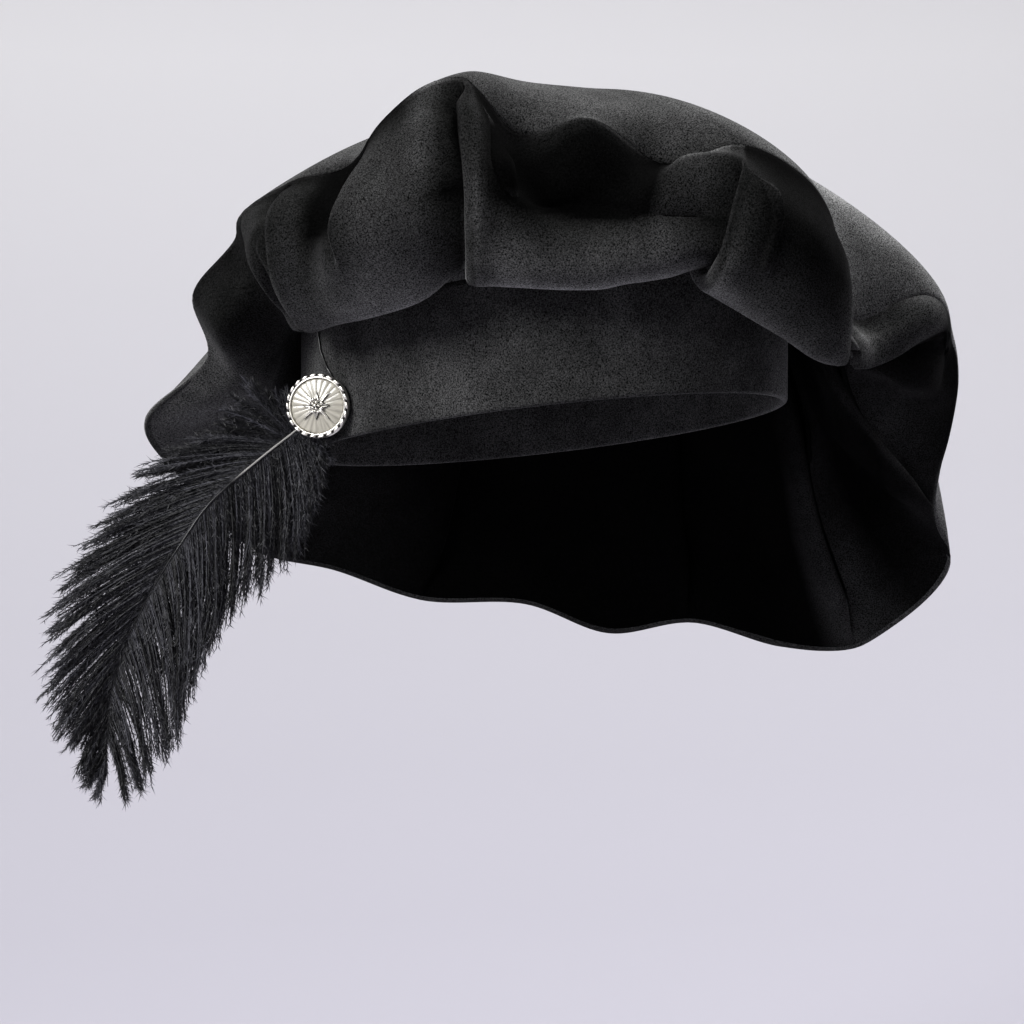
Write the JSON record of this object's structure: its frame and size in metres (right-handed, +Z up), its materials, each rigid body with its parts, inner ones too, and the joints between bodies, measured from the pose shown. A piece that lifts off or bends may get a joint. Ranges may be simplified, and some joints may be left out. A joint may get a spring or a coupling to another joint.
{
  "type": "tudor bonnet",
  "caption": "Wide floppy velvet bonnet: a round two-panel crown pleated into a stiff headband, with an ostrich feather held by a button brooch.",
  "frame": {"origin": "centre of the head opening, in the mean plane of the headband's lower edge", "axes": "the wearer's face looks along -Y, +Z is up and the wearer's right, where the feather is, is -X"},
  "size_m": [0.3157, 0.3287, 0.2892],
  "materials": {
    "crown_velvet": "black short-pile velvet",
    "band_velvet": "black short-pile velvet over a stiff doubled band",
    "quill": "bare grey keratin shaft",
    "barbs": "black ostrich barbs",
    "silvered_metal": "cast silvered metal, darkened in the hollows",
    "pearl": "mother of pearl, satin"
  },
  "bodies": {
    "root": {"crown_underside": "crown_velvet", "crown_top": "crown_velvet", "headband": "band_velvet", "feather_quill": "quill", "feather_barbs": "barbs", "brooch_setting": "silvered_metal", "brooch_disc": "pearl"}
  },
  "joints": []
}
